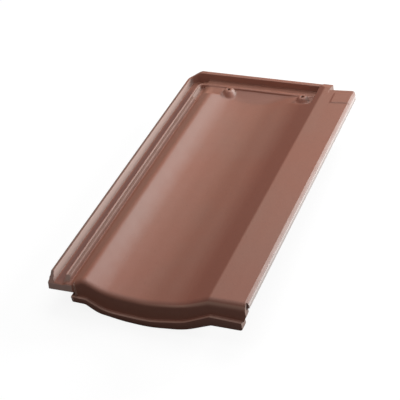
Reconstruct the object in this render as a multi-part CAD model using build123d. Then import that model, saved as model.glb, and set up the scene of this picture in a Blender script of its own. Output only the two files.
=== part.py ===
from build123d import *
import math
import os

# Large interlocking roof tile of fired clay: a side rebate with two ribs, a wide
# trough, a flat roll, a deep nose at the front and two ribs across the head.
# X runs across the tile from the rebate to the roll, Y up the roof from the nose
# to the head, Z up from the lowest line of the nose. The origin is in the middle.
# Offsets are taken from the left side, distances from the nose or the head, and
# heights from the floor of the trough, which lies lap_rise above the base.

# Overall sizes
width = 300.0
length = 490.0
clay = 12.0
lap_rise = 42.0

# Side rebate, where the roll of the next tile lies
rebate_width = 37.5
rebate_clay = 9.5
channel_height = 1.4
inner_channel_height = 4.4
outer_rib_width = 9.5
outer_rib_height = 12.6
middle_rib_offset = 23.4
middle_rib_width = 12.4
middle_rib_height = 10.4
rib_draft = 12.0
rib_slope_run = 11.0
rib_round = 1.6
rebate_round = 1.8
rebate_edge_round = 2.0

# Trough, from its left crest to the roll
crest_offset = 58.5
crest_height = 18.0
crest_round = 11.0
bank_across_share = 0.135
bank_height_share = 0.2
bank_round_share = 0.32
floor_left_share = 0.284
floor_right_share = 0.486
floor_round_share = 0.8
slope_across_share = 0.778
slope_height_share = 0.336
slope_round_share = 0.64

# Flat roll, which rises a little to its free edge
roll_width = 53.2
roll_height = 33.9
roll_tilt = 4.0
roll_clay = 11.5
roll_crease_round = 8.0
roll_cut_back = 32.6
roll_corner_round = 8.0
strip_corner_round = 3.0
roll_strip_width = 10.5
roll_strip_head_width = 5.2
edge_bevel_width = 4.5
edge_bevel_drop = 3.0
edge_line_depth = 0.9
edge_line_height = 2.4
pad_height = 1.0
pad_slope_run = 3.5
pad_rim = 8.0
pad_length = 24.0
pad_inset = 12.0

# Nose: a deep skirt with a lower lip that stands forward of it
nose_set_back = 5.0
nose_thickness = 9.6
nose_offset = 43.0
nose_right_inset = 3.0
lip_offset = 35.0
lip_offset_rise = 17.0
lip_right_inset = 10.0
nose_round = 6.0
roll_nose_round = 11.0
nose_round_depth = 8.0
lip_height = 10.0
lip_height_shares = (1.1, 0.85, 0.5, 0.6, 0.7, 0.8, 1.15, 1.05)
lip_top_round_share = 0.8
lip_depth = 12.0
lip_round = 1.6
skirt_overlap = 2.2
lip_corner_round = 6.0
rebate_front_drop = 2.5
round_shares = ((0, 1), (0.076, 0.617), (0.293, 0.293), (0.617, 0.076), (1, 0))

# Head: outer rib, channel, second rib and the shelf that the trough runs up to
head_rib_height = 20.0
head_rib_width = 7.5
head_channel_width = 12.5
head_channel_height = 8.6
channel_end_gap = 13.8
second_rib_width = 6.0
second_rib_height = 11.2
shelf_height = 9.4
shelf_width = 24.0
shelf_run = 20.0
shelf_wall = 8.0
head_corner_round = 20.0
middle_corner_round = 12.0
corner_rise_run = 16.0

# Nail bosses
hole_diameter = 5.0
hole_offset = 84.0
hole_spacing = 127.0
hole_from_head = 33.5
boss_top_diameter = 13.0
boss_base_diameter = 30.0
left_boss_height = 13.6
right_boss_height = 16.5

# Hidden underside: batten nibs, a seating rib and a lock rib
nib_width = 30.0
nib_thickness = 12.0
nib_draft = 5.0
nib_foot_height = 6.0
seat_rib_width = 7.0
seat_rib_from_nose = 80.0
seat_rib_gap = 2.0
lock_rib_inset = 18.5
lock_rib_width = 6.5
lock_rib_gap = 3.0

# Places that follow from the sizes
left = -width / 2
nose = -length / 2
head = length / 2
base = lap_rise
reach = width + length
roll_offset = width - roll_width
trough_span = roll_offset - crest_offset
bank_round = bank_round_share * trough_span
floor_round = floor_round_share * trough_span
slope_round = slope_round_share * trough_span
channel_end = roll_offset - channel_end_gap
second_rib_from_head = head_rib_width + head_channel_width
rib_root = rebate_clay / 2


def wire(corners):
    """Closed outline from corners (first, second, radius), with tangent arcs."""
    places = []
    for index, (first, second, radius) in enumerate(corners):
        here = Vector(first, second)
        before = Vector(*corners[index - 1][:2])
        after = Vector(*corners[(index + 1) % len(corners)][:2])
        go_in = (here - before).normalized()
        go_out = (after - here).normalized()
        turn = math.radians(go_in.get_angle(go_out))
        if radius == 0 or math.isclose(turn, 0, abs_tol=1e-6):
            places.append((here, here, here))
            continue
        back = radius * math.tan(turn / 2)
        inward = (go_out - go_in).normalized()
        middle = here + inward * radius * (1 / math.cos(turn / 2) - 1)
        places.append((here - go_in * back, middle, here + go_out * back))
    edges = []
    for index, (start, middle, end) in enumerate(places):
        if start != end:
            edges.append(ThreePointArc(start, middle, end))
        edges.append(Line(end, places[(index + 1) % len(places)][0]))
    return edges


def section(corners, distance):
    """Face across the tile from corners (offset, height, radius), at a distance."""
    face = make_face(wire([(left + x, base + z, r) for x, z, r in corners]))
    return Plane.XZ.offset(-nose - distance) * face


def across(corners, start, end):
    """Solid with one outline across the tile, between two distances from the nose."""
    return extrude(section(corners, end), amount=end - start)


def along(points, start, end):
    """Solid with an outline up the tile (distance, height), between two offsets."""
    face = make_face(wire([(nose + y, base + z, 0) for y, z in points]))
    return extrude(Plane.YZ.offset(left + start) * face, amount=end - start)


def block(x_start, x_end, y_start, y_end, z_start, z_end):
    """Box between two offsets, two distances from the nose and two heights."""
    box = Box(
        x_end - x_start,
        y_end - y_start,
        z_end - z_start,
        align=(Align.MIN, Align.MIN, Align.MIN),
    )
    return Pos(left + x_start, nose + y_start, base + z_start) * box


def raised(chain, rise):
    return [(x, z + rise, r) for x, z, r in chain]


def underside(chain, depth):
    """Chain moved down square to itself, with its arcs kept concentric."""
    lines = []
    for (x_start, z_start, _), (x_end, z_end, _) in zip(chain, chain[1:]):
        lines.append(Vector(x_end - x_start, z_end - z_start).normalized())
    out = []
    for index, (x, z, r) in enumerate(chain):
        go_in = lines[max(index - 1, 0)]
        go_out = lines[min(index, len(lines) - 1)]
        down = Vector(go_in.Y + go_out.Y, -go_in.X - go_out.X).normalized()
        spot = Vector(x, z) + down * (depth / down.dot(Vector(go_in.Y, -go_in.X)))
        rises = go_in.X * go_out.Y - go_in.Y * go_out.X > 0
        out.append((spot.X, spot.Y, r + depth if rises else max(r - depth, rib_round)))
    return out


# Top line of the body, from left to right
rebate_line = [
    (0, channel_height, rebate_edge_round),
    (middle_rib_offset, channel_height, rebate_round),
    (middle_rib_offset + middle_rib_width / 2, inner_channel_height, rebate_round),
    (rebate_width, inner_channel_height, rebate_round),
]
trough_line = [
    (crest_offset, crest_height, crest_round),
    (
        crest_offset + bank_across_share * trough_span,
        bank_height_share * crest_height,
        bank_round,
    ),
    (crest_offset + floor_left_share * trough_span, 0, floor_round),
    (crest_offset + floor_right_share * trough_span, 0, floor_round),
    (
        crest_offset + slope_across_share * trough_span,
        slope_height_share * roll_height,
        slope_round,
    ),
    (roll_offset, roll_height, roll_crease_round),
]
roll_top = roll_height + roll_tilt
roll_foot = roll_top - roll_clay
bevel_slope = roll_tilt / roll_width
edge_line = [
    (width - edge_bevel_width, roll_top - bevel_slope * edge_bevel_width, 0),
    (width - edge_line_depth, roll_top - edge_bevel_drop, 0),
    (width - edge_line_depth, roll_top - edge_bevel_drop - edge_line_height / 2, 0),
    (width, roll_top - edge_bevel_drop - edge_line_height, 0),
    (width, roll_foot, rib_round),
]
under_line = underside(trough_line + [(width, roll_top, 0)], clay)[:-1]
rebate_foot = channel_height - rebate_clay

# Body behind the nose: rebate floor, trough and roll
body_start = nose_set_back + nose_round_depth
body_line = rebate_line + trough_line + edge_line
body_line += reversed(under_line)
body_line += [(rebate_width, rebate_foot, 0), (0, rebate_foot, rebate_round)]
tile = across(body_line, body_start, length)


def bank_height(x):
    """Height of the bank between the rebate and the crest."""
    share = (x - rebate_width) / (crest_offset - rebate_width)
    return inner_channel_height + share * (crest_height - inner_channel_height)


def roll_line_height(x):
    return roll_height + (x - roll_offset) / roll_width * roll_tilt


def lowered(chain, drops, share):
    return [(x, z - drop * share, r) for (x, z, r), drop in zip(chain, drops)]


def rounded_front(chain, drops, foot, start, depth):
    """Loft whose top line rises to its full height along a quarter of an ellipse."""
    sections = []
    for depth_share, drop_share in round_shares:
        outline = lowered(chain, drops, drop_share) + foot
        sections.append(section(outline, start + depth_share * depth))
    return loft(sections, ruled=True)


def lip_line(start, end):
    """Foot of the lip: it follows the trough, but stays high beside the rebate."""
    line = [(start, lip_offset_rise, 0)] + trough_line + [(end, roll_line_height(end), 0)]
    return raised(line, -lap_rise)


def lip_top_line(start, end):
    """Top of the lip, which is low in the trough and high at the roll."""
    line = []
    for (x, z, r), share in zip(lip_line(start, end), lip_height_shares):
        line.append((x, z + lip_height * share, r * lip_top_round_share))
    return line


# Nose skirt, rounded at its top: more at the roll than in the trough
nose_end = width - nose_right_inset
nose_line = [(nose_offset, bank_height(nose_offset), 0)] + trough_line
nose_line += [(nose_end, roll_line_height(nose_end), 0)]
nose_drops = [nose_round] * (len(nose_line) - 2) + [roll_nose_round] * 2
skirt_foot = raised(lip_top_line(nose_offset, nose_end), -skirt_overlap)[::-1]
tile += rounded_front(nose_line, nose_drops, skirt_foot, nose_set_back, nose_round_depth)
skirt = raised(nose_line, -clay / 2) + skirt_foot
tile += across(skirt, body_start, nose_set_back + nose_thickness)

# Front of the rebate, beside the nose
rebate_front = rebate_line + [(nose_offset, bank_height(nose_offset), 0)]
front_drops = [rebate_front_drop] * len(rebate_front)
front_foot = [(nose_offset, rebate_foot, 0), (0, rebate_foot, rebate_round)]
tile += rounded_front(rebate_front, front_drops, front_foot, nose_set_back, nose_round_depth)

# Lip below the skirt, which stands forward of it
lip_end = width - lip_right_inset
lip_top = lip_top_line(lip_offset, lip_end)
lip_foot = lip_line(lip_offset, lip_end)[::-1]
lip_foot[0] = lip_foot[0][:2] + (lip_corner_round,)
lip_faces = []
for depth_share, drop_share in round_shares:
    edge = lip_round * drop_share
    outline = raised(lip_top, -edge) + raised(lip_foot, edge)
    lip_faces.append(section(outline, depth_share * lip_round))
tile += loft(lip_faces, ruled=True)
tile += across(lip_top + lip_foot, lip_round, lip_depth)

# Clay that is added on top stays above a line inside the plate
rebate_middle = rebate_foot + rebate_clay / 2
plate_line = [(0, rebate_middle, 0), (rebate_width, rebate_middle, 0)]
plate_line += underside(trough_line + [(width, roll_top, 0)], clay / 2)
above_line = plate_line + [(width, reach, 0), (0, reach, 0)]
above_plate = across(above_line, 0, length)

# Shelf that the trough runs up to, with a pocket below it that keeps the wall even
shelf_front = length - second_rib_from_head - shelf_width
shelf_end = channel_end + shelf_wall
shelf_outline = [
    (shelf_front, -clay),
    (shelf_front, 0),
    (shelf_front + shelf_run, shelf_height),
    (length, shelf_height),
    (length, shelf_height - clay),
    (shelf_front + shelf_run, shelf_height - clay),
]
wall_front = shelf_front - clay
room_lead = roll_top - shelf_height
wall_outline = [
    (wall_front, -clay),
    (wall_front, shelf_height),
    (wall_front - room_lead, roll_top),
    (wall_front - room_lead, reach),
    (length, reach),
    (length, shelf_height - clay),
    (shelf_front + shelf_run, shelf_height - clay),
    (shelf_front, -clay),
]
below_line = [(rebate_width, inner_channel_height, 0)] + trough_line
below_line += [(width, roll_top, 0), (width, -lap_rise, 0), (rebate_width, -lap_rise, 0)]
below_top = across(below_line, 0, length)
tile += along(shelf_outline, rebate_width, shelf_end)
tile += along(wall_outline, rebate_width, shelf_end) & below_top
pocket_outline = [
    (shelf_front, -clay),
    (shelf_front + shelf_run, shelf_height - clay),
    (length - head_rib_width, shelf_height - clay),
    (length - head_rib_width, -lap_rise),
    (shelf_front, -lap_rise),
]
tile -= along(pocket_outline, rebate_width, shelf_end)

# Room above the shelf, cut out of the crest and the bank of the roll with a sloping front
room_outline = [
    (shelf_front, shelf_height),
    (length, shelf_height),
    (length, reach),
    (shelf_front - room_lead, reach),
    (shelf_front - room_lead, roll_top),
]
tile -= along(room_outline, rebate_width, channel_end)

# Nail bosses
above_shelf = above_plate + block(0, shelf_end, shelf_front, length, 0, reach)
hole_places = []
boss_sizes = ((hole_offset, left_boss_height), (hole_offset + hole_spacing, right_boss_height))
for x, boss_height in boss_sizes:
    place = Pos(left + x, head - hole_from_head, base)
    boss = Cone(
        boss_base_diameter / 2,
        boss_top_diameter / 2,
        boss_height,
        align=(Align.CENTER, Align.CENTER, Align.MIN),
    )
    tile += place * boss & above_shelf
    hole_places.append(place)


def turning_rib(side, head_gap, side_width, head_width, corner_round, side_top, head_top):
    """Rib up the side, with drafted flanks, that turns across the head as an upright one."""
    turn = length - head_gap - head_width
    corners = [
        (side, 0, 0),
        (side + side_width, 0, 0),
        (side + side_width, turn, corner_round - head_width),
        (roll_offset, turn, 0),
        (roll_offset, turn + head_width, 0),
        (side, turn + head_width, corner_round),
    ]
    face = Pos(0, 0, base) * make_face(wire([(left + x, nose + y, r) for x, y, r in corners]))
    side_rib = extrude(face, amount=side_top, taper=rib_draft)
    side_rib += extrude(face, amount=-rib_root)
    head_rib = extrude(face, amount=max(side_top, head_top))
    head_rib &= block(side, width, turn + head_width - corner_round, length, 0, reach)
    rebate_room = block(0, rebate_width, 0, length, -rib_root, reach)
    return (side_rib + head_rib) & (above_shelf + rebate_room)


def rib_room(rise_start, side_top, head_top):
    """Room above a rib: low along the side, then up to the head, and down at the nose."""
    roof = [
        (0, side_top, 0),
        (rise_start, side_top, 0),
        (rise_start + corner_rise_run, head_top, 0),
        (width, head_top, 0),
        (width, reach, 0),
        (0, reach, 0),
    ]
    ramp = [
        (0, -lap_rise),
        (nose_set_back, -lap_rise),
        (nose_set_back, channel_height - rebate_front_drop),
        (nose_set_back + rib_slope_run, side_top),
        (nose_set_back + rib_slope_run, reach),
        (0, reach),
    ]
    return across(roof, 0, length) + along(ramp, 0, rebate_width)


outer_rib = turning_rib(
    0,
    0,
    outer_rib_width,
    head_rib_width,
    head_corner_round,
    outer_rib_height,
    head_rib_height,
)
outer_rib -= rib_room(outer_rib_width, outer_rib_height, head_rib_height)
middle_rib = turning_rib(
    middle_rib_offset,
    second_rib_from_head,
    middle_rib_width,
    second_rib_width,
    middle_corner_round,
    middle_rib_height,
    second_rib_height,
)
middle_rib -= rib_room(middle_rib_offset + middle_rib_width, middle_rib_height, second_rib_height)

# Head channel, cut through the crest and into the bank of the roll
tile -= block(
    outer_rib_width,
    channel_end,
    length - second_rib_from_head,
    length - head_rib_width,
    head_channel_height,
    reach,
)
tile += outer_rib
tile += middle_rib

# Roll: its right part stops short of the head, and its left strip slopes down to it
strip_end = roll_offset + roll_strip_width
roll_end = length - roll_cut_back
strip_room = [
    (roll_end, roll_top),
    (length, head_rib_height),
    (length, reach),
    (roll_end, reach),
]
tile -= along(strip_room, channel_end, width)
strip_outline = [
    (roll_end, roll_top),
    (length, head_rib_height),
    (length, head_rib_height - clay),
    (roll_end, roll_top - clay),
]
tile += along(strip_outline, channel_end, strip_end) & below_top
strip_head = roll_offset + roll_strip_head_width
cut_plan = [
    (strip_end, roll_end, 0),
    (strip_head, length, strip_corner_round),
    (strip_head - strip_corner_round, length, 0),
    (strip_head - strip_corner_round, reach, 0),
    (reach, reach, 0),
    (reach, roll_end - 2 * roll_corner_round, 0),
    (width, roll_end - 2 * roll_corner_round, 0),
    (width, roll_end, roll_corner_round),
]
cut_face = make_face(wire([(left + x, nose + y, r) for x, y, r in cut_plan]))
tile -= extrude(Pos(0, 0, -reach) * cut_face, amount=reach * 2)

# Low pad on the end of the roll, with a sloping left side
pad_start = strip_end + pad_inset
pad_foot = pad_start - pad_slope_run
pad_right = width - edge_bevel_width
pad_end = roll_end - pad_rim
pad_outline = [
    (pad_foot, roll_line_height(pad_foot), 0),
    (pad_start, roll_line_height(pad_start) + pad_height, 0),
    (pad_right, roll_line_height(pad_right) + pad_height, 0),
    (pad_right, roll_line_height(pad_right) - pad_height, 0),
    (pad_foot, roll_line_height(pad_foot) - pad_height, 0),
]
tile += across(pad_outline, pad_end - pad_length, pad_end)

# Rounded rear corner beside the head
corner = block(0, head_corner_round, length - head_corner_round, length, -lap_rise, reach)
post = Cylinder(head_corner_round, reach)
tile -= corner - Pos(left + head_corner_round, head - head_corner_round, base) * post


def hanging(x_start, x_end, y_start, y_end, foot):
    """Block below the plate, from a foot height up into the clay."""
    return block(x_start, x_end, y_start, y_end, foot, roll_top) - above_plate


# Nibs that hang on the batten: upright towards it, drafted behind, with a level seat
nib_front = shelf_front + shelf_run
nib_foot = nib_foot_height - lap_rise
nib_rise = shelf_height - clay / 2 - nib_foot
nib_lean = nib_rise * math.tan(math.radians(nib_draft))
nib_outline = [
    (shelf_front, -clay),
    (nib_front, -clay),
    (nib_front, nib_foot),
    (nib_front + nib_thickness, nib_foot),
    (nib_front + nib_thickness + nib_lean, nib_foot + nib_rise),
    (nib_front, nib_foot + nib_rise),
    (shelf_front, -clay / 2),
]
for x in (hole_offset, hole_offset + hole_spacing):
    nib_start = x - nib_width / 2
    tile += along(nib_outline, nib_start, nib_start + nib_width)

# Seating rib, which drops into the head channel of the tile below
tile += hanging(
    crest_offset,
    channel_end - seat_rib_width,
    seat_rib_from_nose,
    seat_rib_from_nose + seat_rib_width,
    head_channel_height - lap_rise + seat_rib_gap,
)

# Lock rib below the roll, which drops into the channel of the next tile's rebate
lock_start = width - lock_rib_inset - lock_rib_width
tile += hanging(
    lock_start,
    lock_start + lock_rib_width,
    nose_set_back + nose_thickness / 2,
    roll_end - roll_corner_round,
    channel_height + lock_rib_gap,
)

# Nail holes
for place in hole_places:
    tile -= place * Cylinder(hole_diameter / 2, reach)

os.makedirs("parts", exist_ok=True)
export_step(tile, "parts/roof_tile.step")
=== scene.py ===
import math

import bmesh
import bpy
import numpy as np
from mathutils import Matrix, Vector


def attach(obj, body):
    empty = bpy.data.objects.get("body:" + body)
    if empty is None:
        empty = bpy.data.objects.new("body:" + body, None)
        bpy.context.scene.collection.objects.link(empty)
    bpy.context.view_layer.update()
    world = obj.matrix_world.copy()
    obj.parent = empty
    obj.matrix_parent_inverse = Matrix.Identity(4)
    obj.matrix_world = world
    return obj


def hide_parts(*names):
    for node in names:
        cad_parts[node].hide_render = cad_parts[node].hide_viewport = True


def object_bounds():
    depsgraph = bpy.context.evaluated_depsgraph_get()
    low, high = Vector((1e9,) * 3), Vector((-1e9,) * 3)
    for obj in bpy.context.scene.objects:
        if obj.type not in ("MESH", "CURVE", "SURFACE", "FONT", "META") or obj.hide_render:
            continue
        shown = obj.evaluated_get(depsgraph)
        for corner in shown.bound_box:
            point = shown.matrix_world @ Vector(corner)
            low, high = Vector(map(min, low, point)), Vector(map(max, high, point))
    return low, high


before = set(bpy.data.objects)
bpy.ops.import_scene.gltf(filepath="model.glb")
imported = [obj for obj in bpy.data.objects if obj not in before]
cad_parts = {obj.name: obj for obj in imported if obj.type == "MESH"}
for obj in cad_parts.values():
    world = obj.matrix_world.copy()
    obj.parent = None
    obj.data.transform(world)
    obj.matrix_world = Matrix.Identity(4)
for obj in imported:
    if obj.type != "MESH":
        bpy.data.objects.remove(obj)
cad_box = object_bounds()

# The tile is drawn again as one smooth skin over the CAD sizes, with soft moulded edges.
# Offsets (x) run from the left side, distances (d) from the nose and heights (z) from the
# trough floor, all in millimetres. The trough floor lies LAP_RISE above the base.
# A corner of a section line is an offset, a height and a radius.

# Overall sizes
low_corner, high_corner = cad_box
WIDTH = round((high_corner[0] - low_corner[0]) * 1000, 1)
LENGTH = round((high_corner[1] - low_corner[1]) * 1000, 1)
CLAY = 12.0
LAP_RISE = 42.0

# Side rebate
REBATE_WIDTH = 37.5
REBATE_FOOT = -8.1
CHANNEL_HEIGHT = 1.4
INNER_CHANNEL_HEIGHT = 4.4
CHANNEL_ROUND = 2.0
BANK_ROUND = 1.8
OUTER_RIB_WIDTH = 9.5
OUTER_RIB_HEIGHT = 12.6
OUTER_RIB_EDGE = 0.9
MIDDLE_RIB_OFFSET = 23.4
MIDDLE_RIB_WIDTH = 12.4
MIDDLE_RIB_HEIGHT = 10.4
MIDDLE_RIB_EDGE = 0.8
RIB_DRAFT = 12.0
RIB_RAMP_START = 5.0
RIB_RAMP_RUN = 11.0
RIB_RAMP_FOOT = -1.1

# Fine bead along the left edge of the middle rib, and the hollow beside it
BEAD_HEIGHT = 0.8
BEAD_WIDTH = 1.0
BEAD_OUTER_ROUND = 0.5
BEAD_INNER_ROUND = 0.4
HOLLOW_START = 2.6
HOLLOW_END = 4.0
HOLLOW_DEPTH = 0.4
HOLLOW_ROUND = 0.6

# Trough, crest and roll
CREST = (58.5, 18.0, 11.0)
BANK = (83.92, 3.6, 60.26)
FLOOR_LEFT = (111.98, 0.0, 150.64)
FLOOR_RIGHT = (150.01, 0.0, 150.64)
SLOPE = (205.0, 11.39, 120.51)
ROLL = (246.8, 33.9, 8.0)
ROLL_TOP = 37.9
ROLL_SLOPE = (ROLL_TOP - ROLL[1]) / (WIDTH - ROLL[0])
PAST_EDGE = WIDTH + 10
TIGHT_RADIUS = 2.5

# Head
HEAD_RIB_HEIGHT = 20.0
HEAD_RIB_WIDTH = 7.9
HEAD_RIB_EDGE = 1.3
HEAD_RIB_SLANT = 0.02
HEAD_CORNER = 20.0
HEAD_ZONE = LENGTH - 60
CHANNEL_BACK = 482.5
CHANNEL_FRONT = 470.0
CHANNEL_FLOOR = 8.6
CHANNEL_END = 233.0
CHANNEL_WALL = (CHANNEL_END - 0.2, CHANNEL_END + 2.2)
CHANNEL_WALL_RUN = 0.5
RIB_END = CHANNEL_END + 8
SECOND_RIB_WIDTH = 6.6
SECOND_RIB_HEIGHT = 11.2
SECOND_RIB_SLANT = 0.04
SECOND_RIB_FRONT = 464.0
MIDDLE_CORNER = 12.0
OUTER_TURN = (OUTER_RIB_WIDTH - 4, OUTER_RIB_WIDTH + 16)
MIDDLE_TURN = (MIDDLE_RIB_OFFSET + 4, MIDDLE_RIB_OFFSET + 18)
SHELF_HEIGHT = 9.4
SHELF_FRONT = 446.0
SHELF_TOP = 466.0
SHELF_END = 241.0
SHELF_SIDE = (REBATE_WIDTH - 0.3, REBATE_WIDTH + 0.7)
WALL_FRONT = 434.0

# Rear end of the roll, its low pad and the strip that runs on to the head
PAD_LEFT = 269.3
PAD_FRONT = 425.4
PAD_BACK = 449.4
PAD_HEIGHT = 1.0
PAD_SIDE_RUN = 3.3
PAD_END_RUN = 0.7
ROLL_REAR = 457.4
ROLL_CORNER = 8.0
STRIP_CORNER = 3.0
STRIP_END = 257.3
STRIP_HEAD_END = 252.0

# Nail bosses: offset and height of each
HOLES = ((84.0, 13.6), (211.0, 16.5))
HOLE_RADIUS = 2.5
HOLE_RIM = 0.5
HOLE_FOOT_RIM = 0.3
HOLE_TAPER = 0.05
HOLE_TOP_ROUND = 0.6
HOLE_FOOT_ROUND = 0.4
HOLE_DISTANCE = 456.5
BOSS_TOP_RADIUS = 6.5
BOSS_BASE_RADIUS = 15.0
BOSS_REACH = BOSS_BASE_RADIUS + 3

# Nose
NOSE_LEFT = 43.0
NOSE_RIGHT = 297.0
NOSE_SET_BACK = 5.0
NOSE_BACK = 14.6
NOSE_ROUND_DEPTH = 8.0
NOSE_DROP = 6.0
ROLL_NOSE_DROP = 11.0
NOSE_END_DROP = 1.1
BODY_START = NOSE_SET_BACK + NOSE_ROUND_DEPTH
SKIRT_KNEE = 8.0
SKIRT_FILLET = 0.8
SKIRT_RISE_START = 292.3
SKIRT_RISE = 11.0
REBATE_FRONT_DROP = 2.5
REBATE_FRONT_PLACE = 2.6
REBATE_FRONT_FOOT = -10.4
REBATE_FRONT_SLOPE = 0.08

# Lip below the nose: the heights belong to the corners of its line, from left to right
LIP_LEFT = 35.0
LIP_LEFT_RISE = 17.0
LIP_RIGHT = 291.5
LIP_HEIGHTS = (11.0, 10.0, 8.5, 11.5, 11.8, 14.8, 16.8, 14.0)
LIP_TOP_ROUND = 0.8
LIP_FOOT_CREST = (56.0, 17.6, 6.0)
LIP_FOOT_BANK = (73.0, 4.9, 30.0)
LIP_BACK = 12.0
LIP_BACK_DROP = 2.2
LIP_CORNER = 4.5
LIP_ROUND = 1.5
LIP_EDGE_IN = 0.525
LIP_EDGE_DOWN = 0.5
LIP_FOOT_EDGE = 0.45
LEDGE_END = NOSE_SET_BACK - 0.6
LEDGE_SLOPE = 0.1

# Left end of the lip, ring by ring: offset and inset
LIP_END_RINGS = (
    (LIP_LEFT, 1.1),
    (LIP_LEFT + 0.3, 0.4),
    (LIP_LEFT + 1.1, 0),
    (NOSE_LEFT + 0.1, 0.01),
    (NOSE_LEFT + 0.6, 0.01),
)

# Free edge of the roll
EDGE_START = 295.5
EDGE_FIT_START = 430.0
EDGE_BEND_HEIGHT = 36.45

# The edge ring by ring: inset and height of its top line, inset and height of its low line,
# and how much the top line follows the pad and the nose
EDGE_RINGS = (
    (1.0, 34.98, 2.6, 26.2, 1),
    (1.8, 34.5, 0.8, 26.5, 0.6),
    (1.8, 33.7, 0.3, 26.8, 0.2),
    (0.1, 32.9, 0.05, 27.2, 0),
    (0, 32.4, 0, 28.2, 0),
)

# Underside: the last two are left, right, front, back and height of the foot
PLAIN_PLACE = 30.0
NIB_HALF_WIDTH = 15.0
NIB_FRONT = 466.0
NIB_BACK = 478.0
NIB_LEAN = 3.4
NIB_BACK_TOP = -2.6
NIB_FOOT = -36.0
SEAT_RIB = (58.5, 226.0, 80.0, 87.0, -31.4)
LOCK_RIB = (275.0, 281.5, 11.0, 449.4, 4.4)

# Lengths over which two forms blend into each other
WALL_BLEND = 2.5
SHELF_BLEND = 3.0
BOSS_TOP_BLEND = 1.5
BOSS_FOOT_BLEND = 1.2
RIB_RAMP_BLEND = 0.7
RIB_BLEND = 0.4

# Steps of the arcs in section lines, and the spacing of columns and places near walls and holes
LINE_STEPS = 9
UNDER_STEPS = 7
RIB_STEPS = 5
NOSE_STEPS = 8
HOLE_REACH = 3
HOLE_CLEAR = 3.6
PAIR_GAP = 0.12
PAIR_CLEAR = 0.6
CLOSEST_PLACES = 0.05
CLOSEST_COLUMNS = 0.04
RIB_CLEAR = 0.28
STRIP_CLEAR = 0.4
WALL_CLEAR = 0.8
WALL_STEPS = (-0.55, -0.2, 0.2, 0.55)
END_STEPS = (0.15, 0.5)
NIB_CLEAR = 0.5
HEAD_FIT_START = 462.0
HEAD_FIT_ROOM = 2.0
ROLL_FIT_START = ROLL_REAR - 36
EDGE_SLACK = 0.1
NO_RIB = -50
MERGE_DISTANCE = 0.00002
SHARP_ANGLE = 35


def arc_rise(radius, past):
    """Height of a quarter circle at a distance from its centre."""
    return math.sqrt(max(radius**2 - past**2, 0))


def unit(vector):
    return vector / np.linalg.norm(vector)


def rounded(corners, steps):
    """Open line through corners of offset, height and radius, with arcs at the corners."""
    out = [np.array(corners[0][:2])]
    for before, here, after in zip(corners, corners[1:], corners[2:]):
        corner = np.array(here[:2])
        go_in = unit(corner - np.array(before[:2]))
        go_out = unit(np.array(after[:2]) - corner)
        turn = math.acos(np.clip(go_in @ go_out, -1, 1))
        back = here[2] * math.tan(turn / 2)
        if back < 0.01:
            out.append(corner)
            continue
        centre = corner + unit(go_out - go_in) * here[2] / math.cos(turn / 2)
        start = corner - go_in * back - centre
        sign = 1 if go_in[0] * go_out[1] - go_in[1] * go_out[0] > 0 else -1
        for share in np.linspace(0, 1, int(steps * turn * 2) + 2):
            angle = sign * turn * share
            spin = np.array([[math.cos(angle), -math.sin(angle)], [math.sin(angle), math.cos(angle)]])
            out.append(centre + spin @ start)
    out.append(np.array(corners[-1][:2]))
    return np.array(out)


def moved_down(corners, depth):
    """Corners of the line that lies below, square to itself."""
    out = []
    for index, (x, z, radius) in enumerate(corners):
        before = corners[max(index - 1, 0)]
        after = corners[min(index + 1, len(corners) - 1)]
        go_out = np.array([after[0] - x, after[1] - z])
        go_in = np.array([x - before[0], z - before[1]]) if index else go_out
        if index == len(corners) - 1:
            go_out = go_in
        go_in = unit(go_in)
        go_out = unit(go_out)
        down = unit(np.array([go_in[1] + go_out[1], -go_in[0] - go_out[0]]))
        spot = np.array([x, z]) + down * depth / (down @ np.array([go_in[1], -go_in[0]]))
        rises = go_in[0] * go_out[1] - go_in[1] * go_out[0] > 0
        out.append((spot[0], spot[1], radius + depth if rises else max(radius - depth, TIGHT_RADIUS)))
    return out


def ramp(value, start, end):
    """Share from 0 to 1 with soft ends."""
    share = np.clip((value - start) / (end - start), 0, 1)
    return share * share * (3 - 2 * share)


def soft_max(a, b, size):
    blend = np.clip(0.5 + 0.5 * (a - b) / size, 0, 1)
    return b + (a - b) * blend + size * blend * (1 - blend)


def soft_min(a, b, size):
    return -soft_max(-a, -b, size)


def roll_line(x):
    """Height of the roll's straight top."""
    return ROLL[1] + (x - ROLL[0]) * ROLL_SLOPE


# Section lines of the body
tile_corners = [CREST, BANK, FLOOR_LEFT, FLOOR_RIGHT, SLOPE, ROLL]
edge_corner = (WIDTH, ROLL_TOP, 0)
top_corners = [
    (0, CHANNEL_HEIGHT, 0),
    (MIDDLE_RIB_OFFSET, CHANNEL_HEIGHT, CHANNEL_ROUND),
    (MIDDLE_RIB_OFFSET + MIDDLE_RIB_WIDTH / 2, INNER_CHANNEL_HEIGHT, CHANNEL_ROUND),
    (REBATE_WIDTH, INNER_CHANNEL_HEIGHT, BANK_ROUND),
]
top_corners += tile_corners + [(PAST_EDGE, roll_line(PAST_EDGE), 0)]
top_line = rounded(top_corners, LINE_STEPS)
under_corners = [(0, REBATE_FOOT, 0), (REBATE_WIDTH, REBATE_FOOT, CHANNEL_ROUND)]
under_corners += moved_down(tile_corners + [edge_corner], CLAY)
under_line = rounded(under_corners, UNDER_STEPS)


def body_top(x):
    return np.interp(x, top_line[:, 0], top_line[:, 1])


def body_under(x):
    return np.interp(x, under_line[:, 0], under_line[:, 1])


def rib_section(width, height, edge, slant):
    """Cross-section of a rib: its height for a distance from its outer face."""
    inset = height * slant
    corners = [
        (0, 0, 0),
        (inset, height, edge),
        (width - inset, height, edge),
        (width, 0, 0),
    ]
    return rounded(corners, RIB_STEPS)


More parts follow.
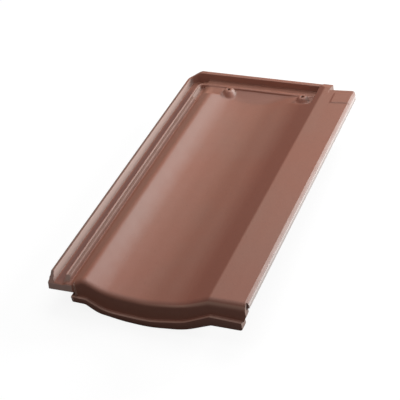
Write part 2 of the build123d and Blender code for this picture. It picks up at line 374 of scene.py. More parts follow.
def beaded_section(width, height, edge, slant):
    """Cross-section of a rib with a small bead along its left edge."""
    inset = height * slant
    corners = [
        (0, 0, 0),
        (inset, height + BEAD_HEIGHT, BEAD_OUTER_ROUND),
        (inset + BEAD_WIDTH, height + BEAD_HEIGHT, BEAD_INNER_ROUND),
        (inset + HOLLOW_START, height - HOLLOW_DEPTH, HOLLOW_ROUND),
        (inset + HOLLOW_END, height, HOLLOW_ROUND),
        (width - inset, height, edge),
        (width, 0, 0),
    ]
    return rounded(corners, RIB_STEPS)


draft = math.tan(math.radians(RIB_DRAFT))
outer_side = rib_section(OUTER_RIB_WIDTH, OUTER_RIB_HEIGHT, OUTER_RIB_EDGE, draft)
outer_head = rib_section(HEAD_RIB_WIDTH, HEAD_RIB_HEIGHT, HEAD_RIB_EDGE, HEAD_RIB_SLANT)
middle_side = beaded_section(MIDDLE_RIB_WIDTH, MIDDLE_RIB_HEIGHT, MIDDLE_RIB_EDGE, draft)
middle_head = rib_section(SECOND_RIB_WIDTH, SECOND_RIB_HEIGHT, HEAD_RIB_EDGE, SECOND_RIB_SLANT)


def from_outer_face(x, d):
    """Distance from the outer face of the outer rib, which turns round the head's corner."""
    corner = HEAD_CORNER - np.hypot(HEAD_CORNER - x, d - (LENGTH - HEAD_CORNER))
    in_corner = (x < HEAD_CORNER) & (d > LENGTH - HEAD_CORNER)
    return np.where(in_corner, corner, np.minimum(x, LENGTH - d))


def from_middle_face(x, d):
    """Distance from the outer face of the middle rib, which turns into the second head rib."""
    across = x - MIDDLE_RIB_OFFSET
    up = CHANNEL_FRONT - d
    corner = MIDDLE_CORNER - np.hypot(MIDDLE_CORNER - across, MIDDLE_CORNER - up)
    in_corner = (across < MIDDLE_CORNER) & (up < MIDDLE_CORNER)
    return np.where(in_corner, corner, np.minimum(across, up))


def with_shelf(z, x, d):
    """The crest and the bank are cut down to the shelf, and the trough runs up to it."""
    beside = (1 - ramp(x, *CHANNEL_WALL)) * (x > REBATE_WIDTH)
    room = SHELF_HEIGHT + np.maximum(SHELF_FRONT - d, 0)
    z = z + (soft_min(z, room, WALL_BLEND) - z) * beside
    shelf = SHELF_HEIGHT * np.minimum((d - SHELF_FRONT) / (SHELF_TOP - SHELF_FRONT), 1)
    on_shelf = ramp(x, *SHELF_SIDE) * (x < SHELF_END)
    return z + (soft_max(z, shelf, SHELF_BLEND) - z) * on_shelf


def with_bosses(z, x, d):
    """Low cones round the nail holes."""
    for hole_x, top in HOLES:
        away = np.hypot(x - hole_x, d - HOLE_DISTANCE)
        cone = top * (BOSS_BASE_RADIUS - away) / (BOSS_BASE_RADIUS - BOSS_TOP_RADIUS)
        boss = soft_max(z, soft_min(cone, top, BOSS_TOP_BLEND), BOSS_FOOT_BLEND)
        z = np.where(away < BOSS_REACH, boss, z)
    return z


def with_channel(z, x, d):
    """Head channel, with steep walls."""
    inside = ramp(d, CHANNEL_FRONT - CHANNEL_WALL_RUN, CHANNEL_FRONT + CHANNEL_WALL_RUN)
    inside = inside * (1 - ramp(x, *CHANNEL_WALL))
    return z + (np.minimum(z, CHANNEL_FLOOR) - z) * inside


def with_rib(z, x, d, away, turn_range, side, head, height):
    """Rib up the side that turns across the head, and runs down to nothing at the nose."""
    turn = ramp(x, *turn_range) * (d > HEAD_ZONE)
    low = np.interp(away, side[:, 0], side[:, 1], left=NO_RIB, right=NO_RIB)
    high = np.interp(away, head[:, 0], head[:, 1], left=NO_RIB, right=NO_RIB)
    rib = np.where(x < RIB_END, low + (high - low) * turn, NO_RIB)
    rise = RIB_RAMP_FOOT + (d - RIB_RAMP_START) / RIB_RAMP_RUN * (height - RIB_RAMP_FOOT)
    return soft_max(z, soft_min(rib, rise, RIB_RAMP_BLEND), RIB_BLEND)


def strip_top(d):
    """Height of the strip that slopes down from the roll to the head."""
    return ROLL_TOP - (d - ROLL_REAR) / (LENGTH - ROLL_REAR) * (ROLL_TOP - HEAD_RIB_HEIGHT)


def with_roll_end(z, x, d):
    """The strip behind the roll, and the low pad near its end."""
    z = np.where((x > CHANNEL_END) & (d > ROLL_REAR), np.minimum(z, strip_top(d)), z)
    pad = ramp(x, PAD_LEFT - PAD_SIDE_RUN, PAD_LEFT)
    pad = pad * ramp(d, PAD_FRONT - PAD_END_RUN, PAD_FRONT + PAD_END_RUN)
    pad = pad * (1 - ramp(d, PAD_BACK - PAD_END_RUN, PAD_BACK + PAD_END_RUN))
    return z + PAD_HEIGHT * pad


# How far the rounded nose drops, from left to right
drop_line = np.array([
    [0, REBATE_FRONT_DROP],
    [NOSE_LEFT, REBATE_FRONT_DROP],
    [NOSE_LEFT + CLOSEST_PLACES, NOSE_DROP],
    [SLOPE[0], NOSE_DROP],
    [ROLL[0], ROLL_NOSE_DROP],
    [NOSE_RIGHT, ROLL_NOSE_DROP],
])


def top_height(x, d):
    """Height of the weathered face."""
    front = np.clip((BODY_START - d) / NOSE_ROUND_DEPTH, 0, 1)
    drop = np.interp(x, drop_line[:, 0], drop_line[:, 1])
    z = body_top(x) - drop * (1 - np.sqrt(1 - front**2))
    z = with_shelf(z, x, d)
    z = with_bosses(z, x, d)
    z = with_channel(z, x, d)
    outer_away = from_outer_face(x, d)
    z = with_rib(z, x, d, outer_away, OUTER_TURN, outer_side, outer_head, OUTER_RIB_HEIGHT)
    middle_away = from_middle_face(x, d)
    z = with_rib(z, x, d, middle_away, MIDDLE_TURN, middle_side, middle_head, MIDDLE_RIB_HEIGHT)
    return with_roll_end(z, x, d)


def under_height(x, d):
    """Height of the hidden face."""
    z = body_under(x)
    # Pocket below the shelf, and the thicker wall in front of it
    below_head = (x > REBATE_WIDTH) & (x < SHELF_END)
    shelf = -CLAY + SHELF_HEIGHT * np.clip((d - SHELF_FRONT) / (SHELF_TOP - SHELF_FRONT), 0, 1)
    z = np.where(below_head & (d > WALL_FRONT), np.minimum(z, -CLAY), z)
    z = np.where(below_head & (d > SHELF_FRONT) & (d < CHANNEL_BACK), shelf, z)
    z = np.where(below_head & (d >= CHANNEL_BACK), np.minimum(z, shelf), z)
    # Nibs
    for hole_x, _ in HOLES:
        across = np.abs(x - hole_x) < NIB_HALF_WIDTH
        z = np.where(across & (d > SHELF_FRONT) & (d <= NIB_FRONT), np.minimum(z, -CLAY), z)
        z = np.where(across & (d > NIB_FRONT) & (d < NIB_BACK + EDGE_SLACK), NIB_FOOT, z)
        back = NIB_FOOT + (d - NIB_BACK) / NIB_LEAN * (NIB_BACK_TOP - NIB_FOOT)
        z = np.where(across & (d >= NIB_BACK) & (d < NIB_BACK + NIB_LEAN), np.minimum(z, back), z)
    # Strip behind the roll, seating rib and lock rib
    strip = (x >= SHELF_END) & (x < STRIP_END + EDGE_SLACK) & (d > ROLL_REAR)
    z = np.where(strip, np.minimum(z, strip_top(d) - CLAY), z)
    for left, right, front, back, foot in (SEAT_RIB, LOCK_RIB):
        inside = (x > left) & (x < right) & (d > front) & (d < back)
        z = np.where(inside, np.minimum(z, foot), z)
    return z


def under_at(x, d):
    """Height of the hidden face at one point."""
    return float(under_height(np.array([x]), np.array([d]))[0])


def rear_distance(x):
    """Where the tile ends at the head."""
    if x < HEAD_CORNER:
        return LENGTH - HEAD_CORNER + arc_rise(HEAD_CORNER, HEAD_CORNER - x)
    if x <= STRIP_HEAD_END:
        past = max(x - STRIP_HEAD_END + STRIP_CORNER, 0)
        return LENGTH - STRIP_CORNER + arc_rise(STRIP_CORNER, past)
    if x <= STRIP_END:
        share = (x - STRIP_HEAD_END) / (STRIP_END - STRIP_HEAD_END)
        return LENGTH - STRIP_CORNER - share * (LENGTH - STRIP_CORNER - ROLL_REAR)
    past = max(x - WIDTH + ROLL_CORNER, 0)
    return ROLL_REAR - ROLL_CORNER + arc_rise(ROLL_CORNER, past)


def without(places, spot, clear):
    """The places that keep clear of a spot."""
    return [place for place in places if abs(place - spot) > clear]


def around(spot):
    """Places one millimetre apart round the middle of a nail hole."""
    return [spot + step for step in range(-HOLE_REACH, HOLE_REACH + 1)]


def stations(ranges, walls):
    """Sorted places from ranges of start, end and step, with a close pair at each steep wall."""
    out = []
    for start, end, step in ranges:
        out += list(np.linspace(start, end, max(1, round((end - start) / step)) + 1))
    for wall in walls:
        out = without(out, wall, PAIR_CLEAR) + [wall - PAIR_GAP, wall + PAIR_GAP]
    out = sorted(set(round(place, 4) for place in out))
    kept = [out[0]]
    for place in out[1:]:
        if place - kept[-1] > CLOSEST_PLACES:
            kept.append(place)
    return kept


# Columns across the tile
column_ranges = [
    (0, 40, 1.3),
    (40, 70, 1.25),
    (70, 100, 2.0),
    (100, 196, 4.0),
    (196, 226, 2.0),
    (226, 258, 1.2),
    (258, 265, 2.5),
    (265, 270, 0.8),
    (270, 282, 3.0),
    (282, EDGE_START, 1.0),
]
nib_sides = [hole_x + side for hole_x, _ in HOLES for side in (-NIB_HALF_WIDTH, NIB_HALF_WIDTH)]
walls_across = [REBATE_WIDTH, NOSE_LEFT, SEAT_RIB[0]] + nib_sides
walls_across += [SHELF_END, LOCK_RIB[0], LOCK_RIB[1], LIP_RIGHT]
rib_points = list(outer_side[:, 0]) + list(MIDDLE_RIB_OFFSET + middle_side[:, 0])
columns = stations(column_ranges, walls_across)
for hole_x, _ in HOLES:
    columns = without(columns, hole_x, HOLE_CLEAR) + around(hole_x)
for rib_point in rib_points:
    columns = without(columns, rib_point, RIB_CLEAR)
columns += rib_points
for strip_point in (STRIP_HEAD_END, STRIP_END):
    columns = without(columns, strip_point, STRIP_CLEAR)
columns = sorted(columns + [STRIP_HEAD_END, STRIP_END])
columns = [a for a, b in zip(columns, columns[1:] + [PAST_EDGE]) if b - a > CLOSEST_COLUMNS]

# Places up the weathered face, from the nose to the head
nose_angles = np.linspace(0, math.pi / 2, NOSE_STEPS)
top_places = list(NOSE_SET_BACK + NOSE_ROUND_DEPTH * (1 - np.cos(nose_angles)))
top_ranges = [
    (14.2, 36, 2.2),
    (36, 420, 9.6),
    (420, 440, 2.5),
    (440, LENGTH, 1.15),
]
top_places += stations(top_ranges, [])
for wall in (CHANNEL_FRONT, CHANNEL_BACK, SECOND_RIB_FRONT):
    top_places = without(top_places, wall, WALL_CLEAR) + [wall + step for step in WALL_STEPS]
top_places = without(top_places, HOLE_DISTANCE, HOLE_CLEAR) + around(HOLE_DISTANCE)
top_places += [LENGTH - step for step in END_STEPS]
top_places = sorted(set(round(place, 4) for place in top_places))

# Places up the hidden face
under_ranges = [
    (18.5, 78, 8.0),
    (78, 90, 2.0),
    (90, 440, 12.0),
    (440, 488, 2.2),
    (488, LENGTH, 1.0),
]
walls_up = [SEAT_RIB[2], SEAT_RIB[3], SHELF_FRONT, NIB_FRONT, NIB_BACK + NIB_LEAN, CHANNEL_BACK]
under_places = stations(under_ranges, walls_up)
under_places = without(under_places, HOLE_DISTANCE, HOLE_CLEAR) + around(HOLE_DISTANCE)
under_places = sorted(without(under_places, NIB_BACK, NIB_CLEAR) + [NIB_BACK])


def fitted(place, rear):
    """Place up the tile, drawn in where the tile ends before the head."""
    start = HEAD_FIT_START if rear >= HEAD_FIT_START + HEAD_FIT_ROOM else ROLL_FIT_START
    if place <= start or rear == LENGTH:
        return place
    return start + (place - start) * (rear - start) / (LENGTH - start)


# Foot and top of the lip
lip_corners = [(LIP_LEFT, LIP_LEFT_RISE, 0)] + tile_corners + [edge_corner]
foot_corners = [lip_corners[0], LIP_FOOT_CREST, LIP_FOOT_BANK] + lip_corners[3:]
ledge_corners = []
for (x, z, radius), height in zip(lip_corners, LIP_HEIGHTS):
    ledge_corners.append((x, z + height, radius * LIP_TOP_ROUND))
lip_foot_line = rounded(foot_corners, LINE_STEPS)
lip_top_line = rounded(ledge_corners, LINE_STEPS)


def lip_heights(x):
    """Lower and upper edge of the lip."""
    low = float(np.interp(x, lip_foot_line[:, 0], lip_foot_line[:, 1])) - LAP_RISE
    high = float(np.interp(x, lip_top_line[:, 0], lip_top_line[:, 1])) - LAP_RISE
    low += LIP_CORNER - arc_rise(LIP_CORNER, max(x - LIP_RIGHT + LIP_CORNER, 0))
    return low, high


def lip_outline(low, high):
    """The lip's section, from the skirt's foot over the front to its back."""
    return [
        (LEDGE_END, high),
        (LIP_ROUND, high - LEDGE_SLOPE),
        (LIP_EDGE_IN, high - LIP_EDGE_DOWN),
        (0, high - LIP_ROUND),
        (0, low + LIP_ROUND),
        (LIP_FOOT_EDGE, low + LIP_FOOT_EDGE),
        (LIP_ROUND, low),
        (LIP_BACK, low),
    ]


def skirt_foot(x):
    """Height of the skirt's foot, which is drawn up toward its right end."""
    _, lip_high = lip_heights(min(x, LIP_RIGHT))
    share = (x - SKIRT_RISE_START) / (NOSE_RIGHT - SKIRT_RISE_START)
    return lip_high - LIP_BACK_DROP + SKIRT_RISE * min(max(share, 0), 1)


def nose_points(x):
    """A column's line down the nose: skirt, lip and the room behind them."""
    lip_low, lip_high = lip_heights(min(x, LIP_RIGHT))
    back = lip_high - LIP_BACK_DROP
    points = [(NOSE_SET_BACK, lip_high + SKIRT_KNEE), (NOSE_SET_BACK, lip_high + SKIRT_FILLET)]
    points += lip_outline(lip_low, lip_high)
    points += [(LIP_BACK, back), (NOSE_BACK, back), (NOSE_BACK, under_at(x, PLAIN_PLACE))]
    if x < NOSE_LEFT:
        return [(REBATE_FRONT_PLACE, REBATE_FRONT_FOOT + x * REBATE_FRONT_SLOPE)] * len(points)
    if x > LIP_RIGHT:
        foot = skirt_foot(x)
        return [(max(d, NOSE_SET_BACK), max(z, foot)) for d, z in points]
    return points


def column_loop(x):
    """Closed line round the tile in the plane across one offset."""
    rear = rear_distance(x)
    places = np.array([fitted(place, rear) for place in top_places])
    heights = top_height(np.full_like(places, x), places)
    points = list(zip(places[::-1], heights[::-1]))
    points += nose_points(x)
    for place in under_places[:-1]:
        spot = fitted(place, rear)
        points.append((spot, under_at(x, spot)))
    last_low = under_at(x, fitted(under_places[-1], rear))
    points.append((rear, last_low))
    points.append((rear, (last_low + heights[-1]) / 2))
    return points


# Grid of offset, distance and height, column by column
loops = np.array([column_loop(x) for x in columns])
loop_size = loops.shape[1]
across = np.repeat(np.array(columns), loop_size).reshape(-1, loop_size, 1)
grid = np.concatenate([across, loops], axis=2)

# Right end: the nose's end, then the bevel, fine groove and upright face of the roll's edge
last = grid[-1]
is_top = np.arange(loop_size) < len(top_places)
in_front = ~is_top & (last[:, 1] < NOSE_BACK + EDGE_SLACK)
nose_ring = last.copy()
nose_ring[:, 0] = NOSE_RIGHT
nose_ring[is_top, 2] -= NOSE_END_DROP
nose_ring[in_front, 2] = np.maximum(nose_ring[in_front, 2], skirt_foot(NOSE_RIGHT))


def edge_ring(top_inset, top_z, low_inset, low_z, dip_share):
    """Loop at the free edge, with its top and low lines at places of their own."""
    top_x = WIDTH - top_inset
    low_x = WIDTH - low_inset
    ring = last.copy()
    ring[:, 0] = np.where(is_top, top_x, low_x)
    dip = np.where(last[:, 1] > BODY_START - EDGE_SLACK, roll_line(EDGE_START) - last[:, 2], 0)
    ring[:, 2] = np.where(is_top, top_z - dip * dip_share, low_z)
    ring[:, 1] = np.maximum(ring[:, 1], BODY_START)
    last_run = rear_distance(EDGE_START) - EDGE_FIT_START
    for point in ring:
        if point[1] > EDGE_FIT_START:
            run = rear_distance(point[0]) - EDGE_FIT_START
            point[1] = EDGE_FIT_START + (point[1] - EDGE_FIT_START) * run / last_run
    ring[-1, 0] = (top_x + low_x) / 2
    ring[-1, 2] = (top_z + low_z) / 2
    return ring


nose_inset = WIDTH - NOSE_RIGHT
low_height = float(body_under(np.array([EDGE_START]))[0])
rings = [nose_ring, edge_ring(nose_inset, EDGE_BEND_HEIGHT, nose_inset, low_height, 1)]
rings += [edge_ring(*ring) for ring in EDGE_RINGS]
grid = np.concatenate([grid, np.array(rings)])


def in_metres(x, d, z):
    """A place on the tile in the frame of the CAD model."""
    return (x - WIDTH / 2) / 1000, (d - LENGTH / 2) / 1000, (z + LAP_RISE) / 1000


def nearest(values, target):
    """Index of the value closest to a target."""
    return min(range(len(values)), key=lambda index: abs(values[index] - target))


def hole_square(first_row, first_place):
    """Border of the square of cells round a nail hole, and the cells inside it."""
    size = 2 * HOLE_REACH
    border = [(first_row + k, first_place) for k in range(size)]
    border += [(first_row + size, first_place + k) for k in range(size)]
    border += [(first_row + size - k, first_place + size) for k in range(size)]
    border += [(first_row, first_place + size - k) for k in range(size)]
    cells = {(first_row + i, first_place + j) for i in range(size) for j in range(size)}
    return border, cells


# Skin: rows of quads with openings for the nail holes, and two end faces
bm = bmesh.new()
verts = [[bm.verts.new(in_metres(*point)) for point in row] for row in grid]
under_first = loop_size - 1 - len(under_places)
opened = set()
borders = []
for hole_x, _ in HOLES:
    row = nearest(columns, hole_x - HOLE_REACH)
    top_place = len(top_places) - 1 - nearest(top_places, HOLE_DISTANCE + HOLE_REACH)
    low_place = under_first + nearest(under_places, HOLE_DISTANCE - HOLE_REACH)
    top_border, top_cells = hole_square(row, top_place)
    low_border, low_cells = hole_square(row, low_place)
    opened |= top_cells | low_cells
    borders.append((hole_x, top_border, low_border))
for i in range(len(verts) - 1):
    for j in range(loop_size):
        if (i, j) not in opened:
            k = (j + 1) % loop_size
            bm.faces.new((verts[i][j], verts[i + 1][j], verts[i + 1][k], verts[i][k]))
bm.faces.new(verts[0])
bm.faces.new(verts[-1][::-1])


def hole_ring(hole_x, border, radius, height):
    """Ring in a nail hole, with one point for each point of the border."""
    ring = []
    for i, j in border:
        x, d, _ = grid[i, j]
        angle = math.atan2(d - HOLE_DISTANCE, x - hole_x)
        ring_x = hole_x + radius * math.cos(angle)
        ring_d = HOLE_DISTANCE + radius * math.sin(angle)
        ring.append(bm.verts.new(in_metres(ring_x, ring_d, height)))
    return ring


def bridge(ring_a, ring_b):
    """Band of quads between two rings."""
    for k in range(len(ring_a)):
        m = (k + 1) % len(ring_a)
        bm.faces.new((ring_a[k], ring_a[m], ring_b[m], ring_b[k]))


# Nail holes, from the boss down to the hidden face
for hole_x, top_border, low_border in borders:
    top_z = float(np.mean([grid[spot][2] for spot in top_border]))
    low_z = float(np.mean([grid[spot][2] for spot in low_border]))
    # The low border runs the other way round, so its points are matched by place
    low_edge = []
    for spot in top_border:
        away = [np.abs(grid[low_spot][:2] - grid[spot][:2]).sum() for low_spot in low_border]
        i, j = low_border[int(np.argmin(away))]
        low_edge.append(verts[i][j])
    hole_rings = [
        [verts[i][j] for i, j in top_border],
        hole_ring(hole_x, top_border, HOLE_RADIUS + HOLE_RIM, top_z),
        hole_ring(hole_x, top_border, HOLE_RADIUS + HOLE_TAPER, top_z - HOLE_TOP_ROUND),
        hole_ring(hole_x, top_border, HOLE_RADIUS, low_z + HOLE_FOOT_ROUND),
        hole_ring(hole_x, top_border, HOLE_RADIUS + HOLE_FOOT_RIM, low_z),
        low_edge,
    ]
    for ring_a, ring_b in zip(hole_rings, hole_rings[1:]):
        bridge(ring_a, ring_b)

# Left end of the lip, which reaches past the skirt below the rebate
lip_rings = []
for x, inset in LIP_END_RINGS:
    low, high = lip_heights(x)
    outline = lip_outline(low, high)
    outline[0] = (LIP_BACK, high)
    ring = []
    for d, z in outline:
        inner_d = d - inset if d > LIP_BACK / 2 else d + inset
        inner_z = z - inset if z > (low + high) / 2 else z + inset
        ring.append(bm.verts.new(in_metres(x, inner_d, inner_z)))
    lip_rings.append(ring)
for ring_a, ring_b in zip(lip_rings, lip_rings[1:]):
    bridge(ring_a, ring_b)
bm.faces.new(lip_rings[0])
bm.faces.new(lip_rings[-1][::-1])

# One closed, smooth mesh
loose = [vert for vert in bm.verts if not vert.link_faces]
bmesh.ops.delete(bm, geom=loose, context="VERTS")
bmesh.ops.remove_doubles(bm, verts=bm.verts, dist=MERGE_DISTANCE)
bmesh.ops.recalc_face_normals(bm, faces=bm.faces)
mesh = bpy.data.meshes.new("tile_skin")
bm.to_mesh(mesh)
bm.free()
mesh.polygons.foreach_set("use_smooth", [True] * len(mesh.polygons))
mesh.set_sharp_from_angle(angle=math.radians(SHARP_ANGLE))
tile = bpy.data.objects.new("tile_skin", mesh)
bpy.context.scene.collection.objects.link(tile)
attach(tile, "root")
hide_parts("roof_tile")

# Colours of the fired coat, then the painted light, shade, sheen and highlights laid over it
BROWN = (0.245, 0.082, 0.044, 1)
RED_BROWN = (0.258, 0.074, 0.036, 1)
GREY_BROWN = (0.232, 0.096, 0.060, 1)
BARE_CLAY = (0.42, 0.20, 0.125, 1)
# Painted light and shade, not colours that the coat has: pale painted light, painted sheen, painted
# shade and painted highlights
PAINTED_PALE_LIGHT = (0.60, 0.47, 0.42, 1)
PAINTED_LIGHT_SIDE = (0.86, 0.80, 0.77, 1)
PAINTED_SHEEN_GREY = (0.215, 0.135, 0.112, 1)
PAINTED_SHADE_RED = (0.225, 0.055, 0.026, 1)
PAINTED_LIGHT_CREST = (0.40, 0.175, 0.115, 1)
PAINTED_LIGHT_HEAD = (0.44, 0.17, 0.115, 1)
PAINTED_SHADE_CHANNEL = (0.135, 0.036, 0.022, 1)
PAINTED_SHADE_RIM = (0.10, 0.068, 0.050, 1)
PAINTED_SHADE_LIP = (0.115, 0.036, 0.020, 1)
PAINTED_SHEEN_RIB = (0.205, 0.125, 0.098, 1)
PAINTED_HIGHLIGHT = (0.56, 0.32, 0.24, 1)

# Bands of painted shade, light and sheen up the tile: left, right and softness in millimetres, and
# strength
CREST_LIGHT_BAND = (39, 56, 2, 0.45)
CHANNEL_SHADE_BAND = (11.5, 22.5, 1.2, 0.75)
RIB_SHEEN_BAND = (27.5, 34, 0.8, 0.6)
RIM_SHADE_BAND = (-2, 6.2, 0.8, 0.6)
# Band of the middle rib's right flank, where the crest's shade falls and no painted light is laid
FLANK_SHADE_BAND = (32, 38, 0.6, 0.6)

# Noises over the coat: scale, detail and, where the noise isn't even, its stretch
CLOUDS = (9, 3)
STREAKS = (26, 3, (1, 0.12, 1))
GRAIN = (1500, 3)
SPECKLE = (420, 2)
SHEEN = (60, 4)
FINE_RELIEF = (1100, 4)
RIPPLES = (120, 3, (1, 0.35, 1))

# Roughness and relief of the coat, in metres where it is a length
SMOOTHEST = 0.54
ROUGHEST = 0.62
GRAIN_DEPTH = 0.00005
RIPPLE_DEPTH = 0.00022
BUMP_STRENGTH = 0.6
EDGE_RADIUS = 0.0007
REFRACTION = 1.5
SPECULAR_LEVEL = 1.0

# Wear at the edges: radius in metres, turn of the normal where it starts and is full, and share
WEAR_RADIUS = 0.0016
WEAR_START = 0.97
WEAR_FULL = 0.85
WEAR_SHARE = 0.35

# Sockets of a colour mix: factor, first colour and second colour, and the resulting colour
MIX_INPUTS = (0, 6, 7)
MIX_OUTPUT = 2


def link(source, target):
    """Join two sockets of one shader tree."""
    source.id_data.links.new(source, target)


def node_in(tree, kind, **settings):
    made = tree.nodes.new(kind)
    for name, value in settings.items():
        setattr(made, name, value)
    return made


def remap(value, low, high, out_low, out_high):
    """The value carried from one range to another, and held inside it."""
    made = node_in(value.id_data, "ShaderNodeMapRange")
    made.inputs["From Min"].default_value = low
    made.inputs["From Max"].default_value = high
    made.inputs["To Min"].default_value = out_low
    made.inputs["To Max"].default_value = out_high
    link(value, made.inputs["Value"])
    return made.outputs["Result"]


def calculated(operation, a, b, clamped=False):
    made = node_in(a.id_data, "ShaderNodeMath", operation=operation, use_clamp=clamped)
    link(a, made.inputs[0])
    link(b, made.inputs[1])
    return made.outputs[0]


def product(a, b, *others):
    result = calculated("MULTIPLY", a, b)
    for other in others:
        result = calculated("MULTIPLY", result, other)
    return result


clay = bpy.data.materials.new("engobed_clay")
clay.use_nodes = True
clay_tree = clay.node_tree
shader = clay_tree.nodes["Principled BSDF"]
shader.inputs["IOR"].default_value = REFRACTION
shader.inputs["Specular IOR Level"].default_value = SPECULAR_LEVEL
coords = node_in(clay_tree, "ShaderNodeTexCoord")


def noise(scale, detail, stretch=(1, 1, 1)):
    mapping = node_in(clay_tree, "ShaderNodeMapping")
    mapping.inputs["Scale"].default_value = stretch
    link(coords.outputs["Object"], mapping.inputs["Vector"])
    made = node_in(clay_tree, "ShaderNodeTexNoise")
    made.inputs["Scale"].default_value = scale
    made.inputs["Detail"].default_value = detail
    made.inputs["Roughness"].default_value = 0.55
    link(mapping.outputs["Vector"], made.inputs["Vector"])
    return made.outputs["Fac"]


def mixed(share, base, tint, kind="MIX"):
    """Base colour with a tint laid over it by a share."""
    made = node_in(clay_tree, "ShaderNodeMix", data_type="RGBA", blend_type=kind)
    for index, value in zip(MIX_INPUTS, (share, base, tint)):
        if isinstance(value, bpy.types.NodeSocket):
            link(value, made.inputs[index])
        else:
            made.inputs[index].default_value = value
    return made.outputs[MIX_OUTPUT]


# Clouds, streaks along the tile, fine grain and dark speckle
clouds = remap(noise(*CLOUDS), 0.35, 0.65, 0.25, 0.75)
colour = mixed(clouds, RED_BROWN, GREY_BROWN)
streaks = remap(noise(*STREAKS), 0.4, 0.62, 0, 0.5)
colour = mixed(streaks, colour, BROWN)
grain = remap(noise(*GRAIN), 0.3, 0.7, 0.9, 1.1)
speckle = remap(noise(*SPECKLE), 0.62, 0.74, 1.0, 0.8)
shade = node_in(clay_tree, "ShaderNodeCombineColor")
for key in ("Red", "Green", "Blue"):
    link(product(grain, speckle), shade.inputs[key])
colour = mixed(1.0, colour, shade.outputs["Color"], "MULTIPLY")

# Edges, where the coat is thinner and the bare clay shows a little
geometry = node_in(clay_tree, "ShaderNodeNewGeometry")
soft_edge = node_in(clay_tree, "ShaderNodeBevel", samples=6)
soft_edge.inputs["Radius"].default_value = WEAR_RADIUS
turned = node_in(clay_tree, "ShaderNodeVectorMath", operation="DOT_PRODUCT")
link(soft_edge.outputs["Normal"], turned.inputs[0])
link(geometry.outputs["Normal"], turned.inputs[1])
wear = remap(turned.outputs["Value"], WEAR_START, WEAR_FULL, 0, WEAR_SHARE)
colour = mixed(wear, colour, BARE_CLAY)

# The face's direction and the place on the tile, for the painted light and shade
direction = node_in(clay_tree, "ShaderNodeSeparateXYZ")
link(coords.outputs["Normal"], direction.inputs[0])
place = node_in(clay_tree, "ShaderNodeSeparateXYZ")
link(coords.outputs["Object"], place.inputs[0])


def facing(axis, start, end, share):
    """Share on faces turned along an axis, growing between two values of the normal."""
    return remap(direction.outputs[axis], start, end, 0, share)


def along(axis, spot, soft, before, after):
    """Value that changes softly at one spot of an axis, in the tile's own millimetres."""
    metres = dict(zip("XYZ", in_metres(spot, spot, spot)))[axis]
    return remap(place.outputs[axis], metres - soft / 1000, metres + soft / 1000, before, after)


def band(left, right, soft, strength):
    """Share inside a band up the weathered face, between the nose and the head ribs."""
    return product(
        along("X", left, soft, 0, strength),
        along("X", right, soft, 1, 0),
        along("Y", 11, 4, 0, 1),
        along("Y", 457, 8, 1, 0),
        along("Z", -1.5, 0.5, 0, 1),
    )


# Painted light: steep faces turned to the right are painted pale, as lit by the lamp at the right,
# but not the middle rib's own flank, where the crest's shade falls
lit_right_faces = product(facing("X", 0.7, 0.97, 0.62), along("Y", 365, 120, 1, 0.68))
painted_light_right_faces = calculated("SUBTRACT", lit_right_faces, band(*FLANK_SHADE_BAND), clamped=True)
# Painted shade: slopes turned to the left on the trough's right bank are darker and redder
shaded_left_slopes = product(facing("X", -0.1, -0.45, 0.7), along("X", 150, 20, 0, 1))
# Painted light on the faces at the head that turn to the front
lit_head_fronts = product(facing("Y", -0.2, -0.6, 0.5), along("Y", 444, 4, 0, 1))

# Painted light and shade at the nose: a painted highlight on the ledge, painted shade on the lip's
# front, painted light on the rebate's front, and painted highlights on the nose's corner and round
ledge = product(facing("Z", 0.4, 0.7, 0.52), along("Y", 2.9, 0.3, 1, 0))
front_faces = facing("Y", -0.5, -0.9, 1)
# Painted shade on the lip's front face
shaded_lip_front = product(front_faces, along("Y", 2.9, 0.4, 0.6, 0))
# Painted light on the front face of the rebate
lit_rebate_front = product(front_faces, along("X", 38.8, 0.4, 0.38, 0), along("Y", 45, 10, 1, 0))
# Painted highlights on the nose's left corner and along its round
nose_corner_highlight = product(
    along("X", 42.9, 0.1, 0, 0.55),
    along("X", 45, 0.3, 1, 0),
    along("Y", 6.4, 0.5, 1, 0),
    along("Z", -13.5, 0.5, 0, 1),
)
nose_round_highlight = product(
    along("Y", 5.4, 0.4, 0, 0.4),
    along("Y", 7.4, 0.6, 1, 0),
    along("X", 170, 40, 0, 1),
)

# Painted light, shade, sheen and highlights laid over the coat, one over the other
painted_light_and_shade = (
    # painted sheen on slopes turned to the right
    (facing("X", 0.12, 0.55, 0.42), PAINTED_SHEEN_GREY),
    # painted shade on slopes turned to the left
    (shaded_left_slopes, PAINTED_SHADE_RED),
    # painted light on the crest's left bank
    (band(*CREST_LIGHT_BAND), PAINTED_LIGHT_CREST),
    # painted light on the head's front faces
    (lit_head_fronts, PAINTED_LIGHT_HEAD),
    # painted shade, darker and redder towards the nose
    (along("Y", 80, 75, 0.28, 0), PAINTED_SHADE_RED),
    # painted light on steep faces turned to the right
    (painted_light_right_faces, PAINTED_PALE_LIGHT),
    # painted shade in the side channel
    (band(*CHANNEL_SHADE_BAND), PAINTED_SHADE_CHANNEL),
    # painted sheen on the middle rib's top
    (band(*RIB_SHEEN_BAND), PAINTED_SHEEN_RIB),
    # painted shade on the outer rib's top
    (band(*RIM_SHADE_BAND), PAINTED_SHADE_RIM),
    # painted highlight on the ledge
    (ledge, PAINTED_HIGHLIGHT),
    # painted shade on the lip's front
    (shaded_lip_front, PAINTED_SHADE_LIP),
    # painted light on the rebate's front
    (lit_rebate_front, PAINTED_PALE_LIGHT),
    # painted highlights on the nose's corner and round
    (nose_corner_highlight, PAINTED_HIGHLIGHT),
    (nose_round_highlight, PAINTED_HIGHLIGHT),
    # painted light on the roll's right side face
    (along("X", 298.8, 0.6, 0, 0.55), PAINTED_LIGHT_SIDE),
)
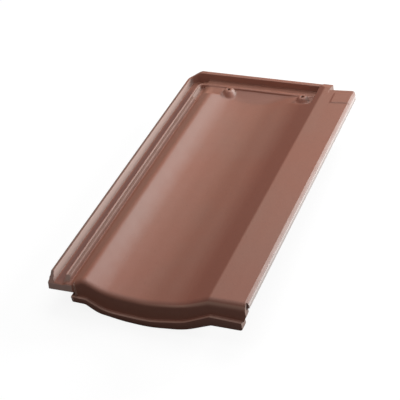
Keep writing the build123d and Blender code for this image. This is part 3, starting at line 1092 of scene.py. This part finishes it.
for share, tint in painted_light_and_shade:
    colour = mixed(share, colour, tint)
link(colour, shader.inputs["Base Color"])
link(remap(noise(*SHEEN), 0.3, 0.7, SMOOTHEST, ROUGHEST), shader.inputs["Roughness"])

# Fine relief over slightly softened edges
fine = remap(noise(*FINE_RELIEF), 0, 1, 0, GRAIN_DEPTH)
ripple = remap(noise(*RIPPLES), 0, 1, 0, RIPPLE_DEPTH)
bump = node_in(clay_tree, "ShaderNodeBump")
bump.inputs["Strength"].default_value = BUMP_STRENGTH
bump.inputs["Distance"].default_value = 1.0
link(calculated("ADD", fine, ripple), bump.inputs["Height"])
edge_normal = node_in(clay_tree, "ShaderNodeBevel", samples=4)
edge_normal.inputs["Radius"].default_value = EDGE_RADIUS
link(edge_normal.outputs["Normal"], bump.inputs["Normal"])
link(bump.outputs["Normal"], shader.inputs["Normal"])
tile.data.materials.append(clay)

# Floor: pale to the camera, so that only the tile's shadow shows on it
FLOOR_SIZE = 8
FLOOR_GREY = 0.15
FLOOR_GLOW = 0.88
bpy.ops.mesh.primitive_plane_add(size=FLOOR_SIZE, location=(0, 0, 0))
floor = bpy.context.object
floor.name = "floor"
pale_floor = bpy.data.materials.new("pale_floor")
pale_floor.use_nodes = True
floor_tree = pale_floor.node_tree
floor_shader = floor_tree.nodes["Principled BSDF"]
floor_shader.inputs["Base Color"].default_value = (FLOOR_GREY, FLOOR_GREY, FLOOR_GREY, 1)
floor_shader.inputs["Roughness"].default_value = 1
floor_shader.inputs["Specular IOR Level"].default_value = 0
floor_shader.inputs["Emission Color"].default_value = (1, 1, 1, 1)
seen = node_in(floor_tree, "ShaderNodeLightPath").outputs["Is Camera Ray"]
link(remap(seen, 0, 1, 0, FLOOR_GLOW), floor_shader.inputs["Emission Strength"])
floor.data.materials.append(pale_floor)

# World: white to the camera, dimmer as a light
WORLD_LIGHT = 0.24
world = bpy.data.worlds.new("studio")
bpy.context.scene.world = world
world.use_nodes = True
background = world.node_tree.nodes["Background"]
background.inputs["Color"].default_value = (1, 1, 1, 1)
seen = node_in(world.node_tree, "ShaderNodeLightPath").outputs["Is Camera Ray"]
link(remap(seen, 0, 1, WORLD_LIGHT, 1), background.inputs["Strength"])

# Lamps: name, place, size in metres and power in watts
LAMPS = (
    ("key", (1.3, 1.28, 0.7), 0.8, 38),
    ("top", (0.25, 0.7, 1.45), 1.3, 14.5),
    ("front", (-0.4, -0.4, 1.6), 0.8, 3.5),
)
LAMP_TARGET = (0, 0, 0.04)
for name, lamp_place, size, power in LAMPS:
    light = bpy.data.lights.new(name, "AREA")
    light.shape = "DISK"
    light.size = size
    light.energy = power
    lamp = bpy.data.objects.new(name, light)
    bpy.context.scene.collection.objects.link(lamp)
    lamp.location = lamp_place
    away = Vector(lamp_place) - Vector(LAMP_TARGET)
    lamp.rotation_euler = away.to_track_quat("Z", "Y").to_euler()

# Camera, at the photograph's viewing angle: place in metres, turn in degrees
CAMERA_PLACE = (0.5566, -0.9335, 0.9505)
CAMERA_TURN = (48.7722, 9.5188, 24.0111)
CAMERA_LENS = 87.1137
SENSOR_WIDTH = 36
camera_data = bpy.data.cameras.new("camera")
camera_data.sensor_width = SENSOR_WIDTH
camera_data.lens = CAMERA_LENS
camera_data.clip_start = 0.05
camera_data.clip_end = 20
camera = bpy.data.objects.new("camera", camera_data)
bpy.context.scene.collection.objects.link(camera)
camera.location = CAMERA_PLACE
camera.rotation_euler = [math.radians(angle) for angle in CAMERA_TURN]
bpy.context.scene.camera = camera
bpy.context.scene.view_settings.view_transform = "Standard"
